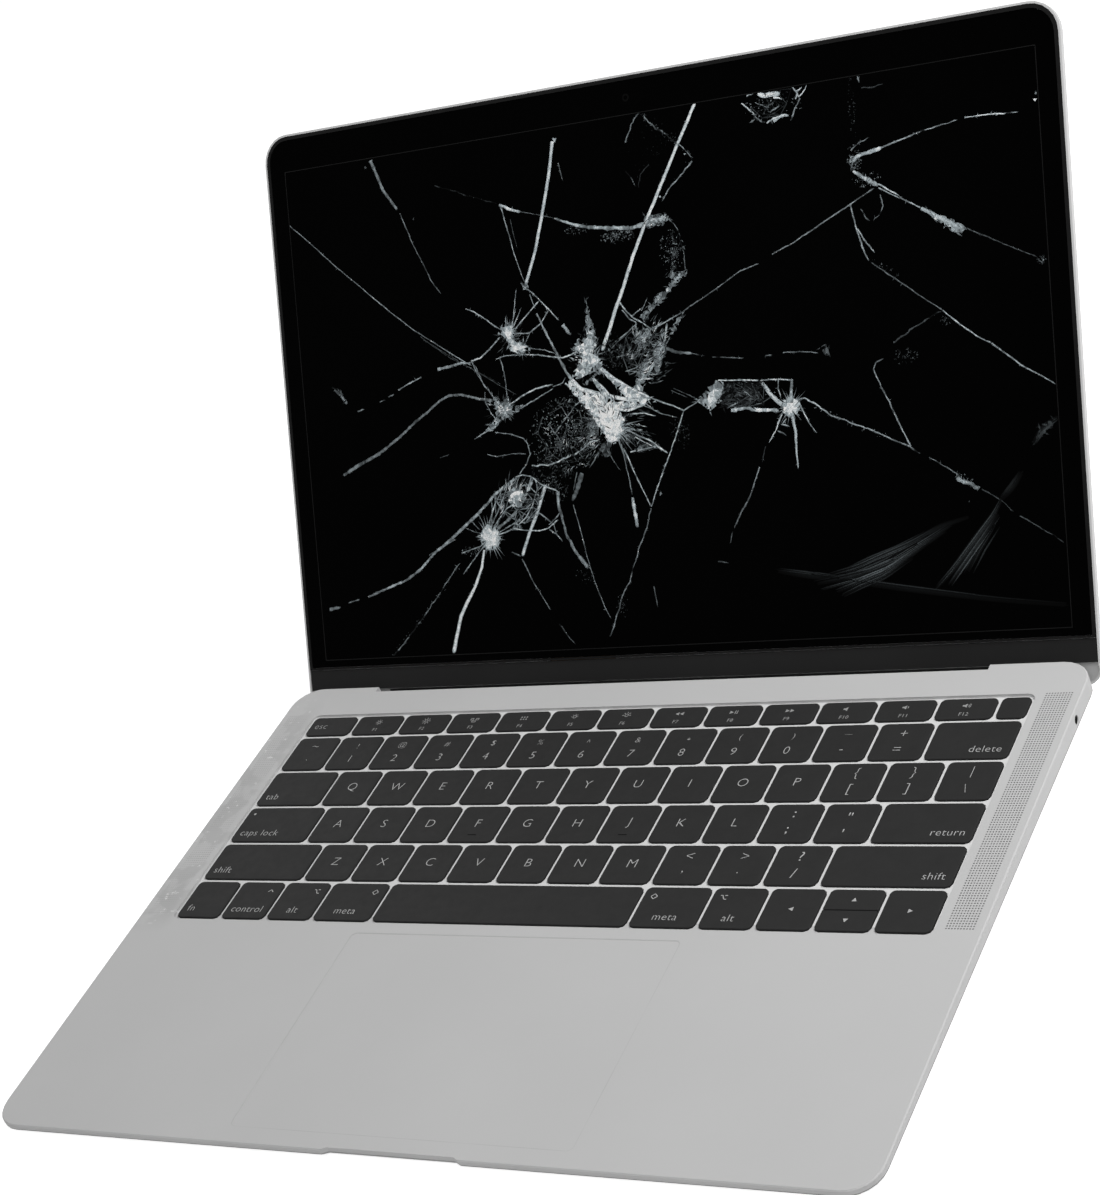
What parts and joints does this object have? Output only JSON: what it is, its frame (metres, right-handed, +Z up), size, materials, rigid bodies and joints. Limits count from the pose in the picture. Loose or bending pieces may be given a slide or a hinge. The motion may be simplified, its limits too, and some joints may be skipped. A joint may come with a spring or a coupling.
{
  "type": "laptop computer",
  "caption": "Broken thin aluminium laptop, open on its hinge, with a shattered black display, keyboard with travelling keys and a large touchpad.",
  "frame": {"origin": "under the middle of the outer box, on the surface the feet stand on", "axes": "+X to the user's right, +Y from the user to the hinge and lid, +Z up"},
  "size_m": [0.3042, 0.32, 0.1774],
  "materials": {
    "aluminium": "bead-blasted satin",
    "key_plastic": "matt",
    "black_glass": "gloss",
    "chin_plastic": "satin",
    "rubber": "matt",
    "battery_foil": "matt",
    "circuit_board": "satin",
    "copper": "satin",
    "steel": "satin",
    "dark_plastic": "matt",
    "flex_film": "satin"
  },
  "bodies": {
    "base": {"top_case": "aluminium", "bottom_cover": "aluminium", "keyboard_plate": "key_plastic", "touchpad_glass": "aluminium", "touchpad_bracket": "steel", "main_board": "circuit_board", "heat_spreader": "copper", "fan_housing": "dark_plastic", "speaker_left": "dark_plastic", "speaker_right": "dark_plastic", "usb_port_front": "steel", "usb_port_rear": "steel", "headphone_jack": "dark_plastic", "hinge_bracket_left": "steel", "hinge_bracket_right": "steel", "foot_front_left": "rubber", "foot_front_right": "rubber", "foot_rear_left": "rubber", "foot_rear_right": "rubber", "battery_front_left": "battery_foil", "battery_front_right": "battery_foil", "battery_rear_left": "battery_foil", "battery_rear_right": "battery_foil"},
    "lid": {"lid_shell": "aluminium", "lid_gasket": "rubber", "screen_border": "black_glass", "display_panel": "black_glass", "chin_cover": "chin_plastic", "clutch_cover": "chin_plastic", "hinge_shaft_left": "steel", "hinge_shaft_right": "steel", "camera_module": "dark_plastic", "antenna_strip": "dark_plastic", "display_cable": "flex_film"},
    "fan": {"fan_rotor": "dark_plastic"},
    "esc_key": {"key_esc": "key_plastic"},
    "power_key": {"key_power": "key_plastic"},
    "delete_key": {"key_delete": "key_plastic"},
    "tab_key": {"key_tab": "key_plastic"},
    "caps_lock_key": {"key_caps_lock": "key_plastic"},
    "return_key": {"key_return": "key_plastic"},
    "shift_left_key": {"key_shift_left": "key_plastic"},
    "shift_right_key": {"key_shift_right": "key_plastic"},
    "fn_key": {"key_fn": "key_plastic"},
    "control_key": {"key_control": "key_plastic"},
    "option_left_key": {"key_option_left": "key_plastic"},
    "option_right_key": {"key_option_right": "key_plastic"},
    "meta_left_key": {"key_meta_left": "key_plastic"},
    "meta_right_key": {"key_meta_right": "key_plastic"},
    "space_key": {"key_space": "key_plastic"},
    "arrow_left_key": {"key_arrow_left": "key_plastic"},
    "arrow_up_key": {"key_arrow_up": "key_plastic"},
    "arrow_down_key": {"key_arrow_down": "key_plastic"},
    "arrow_right_key": {"key_arrow_right": "key_plastic"}
  },
  "joints": [
    {"name": "lid_hinge", "type": "hinge", "parent": "base", "child": "lid", "pos_m": [0, 0.04404, 0.008], "axis": [-1, 0, 0], "range_deg": [-124.66, 7.34]},
    {"name": "fan_spin", "type": "hinge", "parent": "base", "child": "fan", "pos_m": [0.09, 0.00811, 0.0047], "axis": [0, 0, 1], "continuous": true},
    {"name": "press_esc", "type": "slide", "parent": "base", "child": "esc_key", "axis": [0, 0.0375, -0.9993], "range_m": [0, 0.0005], "stiffness_N_per_m": 600, "springref_m": -0.0003},
    {"name": "press_power", "type": "slide", "parent": "base", "child": "power_key", "axis": [0, 0.0375, -0.9993], "range_m": [0, 0.0005], "stiffness_N_per_m": 600, "springref_m": -0.0003},
    {"name": "press_delete", "type": "slide", "parent": "base", "child": "delete_key", "axis": [0, 0.0375, -0.9993], "range_m": [0, 0.0005], "stiffness_N_per_m": 600, "springref_m": -0.0003},
    {"name": "press_tab", "type": "slide", "parent": "base", "child": "tab_key", "axis": [0, 0.0375, -0.9993], "range_m": [0, 0.0005], "stiffness_N_per_m": 600, "springref_m": -0.0003},
    {"name": "press_caps_lock", "type": "slide", "parent": "base", "child": "caps_lock_key", "axis": [0, 0.0375, -0.9993], "range_m": [0, 0.0005], "stiffness_N_per_m": 600, "springref_m": -0.0003},
    {"name": "press_return", "type": "slide", "parent": "base", "child": "return_key", "axis": [0, 0.0375, -0.9993], "range_m": [0, 0.0005], "stiffness_N_per_m": 600, "springref_m": -0.0003},
    {"name": "press_shift_left", "type": "slide", "parent": "base", "child": "shift_left_key", "axis": [0, 0.0375, -0.9993], "range_m": [0, 0.0005], "stiffness_N_per_m": 600, "springref_m": -0.0003},
    {"name": "press_shift_right", "type": "slide", "parent": "base", "child": "shift_right_key", "axis": [0, 0.0375, -0.9993], "range_m": [0, 0.0005], "stiffness_N_per_m": 600, "springref_m": -0.0003},
    {"name": "press_fn", "type": "slide", "parent": "base", "child": "fn_key", "axis": [0, 0.0375, -0.9993], "range_m": [0, 0.0005], "stiffness_N_per_m": 600, "springref_m": -0.0003},
    {"name": "press_control", "type": "slide", "parent": "base", "child": "control_key", "axis": [0, 0.0375, -0.9993], "range_m": [0, 0.0005], "stiffness_N_per_m": 600, "springref_m": -0.0003},
    {"name": "press_option_left", "type": "slide", "parent": "base", "child": "option_left_key", "axis": [0, 0.0375, -0.9993], "range_m": [0, 0.0005], "stiffness_N_per_m": 600, "springref_m": -0.0003},
    {"name": "press_option_right", "type": "slide", "parent": "base", "child": "option_right_key", "axis": [0, 0.0375, -0.9993], "range_m": [0, 0.0005], "stiffness_N_per_m": 600, "springref_m": -0.0003},
    {"name": "press_meta_left", "type": "slide", "parent": "base", "child": "meta_left_key", "axis": [0, 0.0375, -0.9993], "range_m": [0, 0.0005], "stiffness_N_per_m": 600, "springref_m": -0.0003},
    {"name": "press_meta_right", "type": "slide", "parent": "base", "child": "meta_right_key", "axis": [0, 0.0375, -0.9993], "range_m": [0, 0.0005], "stiffness_N_per_m": 600, "springref_m": -0.0003},
    {"name": "press_space", "type": "slide", "parent": "base", "child": "space_key", "axis": [0, 0.0375, -0.9993], "range_m": [0, 0.0005], "stiffness_N_per_m": 600, "springref_m": -0.0003},
    {"name": "press_arrow_left", "type": "slide", "parent": "base", "child": "arrow_left_key", "axis": [0, 0.0375, -0.9993], "range_m": [0, 0.0005], "stiffness_N_per_m": 600, "springref_m": -0.0003},
    {"name": "press_arrow_up", "type": "slide", "parent": "base", "child": "arrow_up_key", "axis": [0, 0.0375, -0.9993], "range_m": [0, 0.0005], "stiffness_N_per_m": 600, "springref_m": -0.0003},
    {"name": "press_arrow_down", "type": "slide", "parent": "base", "child": "arrow_down_key", "axis": [0, 0.0375, -0.9993], "range_m": [0, 0.0005], "stiffness_N_per_m": 600, "springref_m": -0.0003},
    {"name": "press_arrow_right", "type": "slide", "parent": "base", "child": "arrow_right_key", "axis": [0, 0.0375, -0.9993], "range_m": [0, 0.0005], "stiffness_N_per_m": 600, "springref_m": -0.0003}
  ]
}
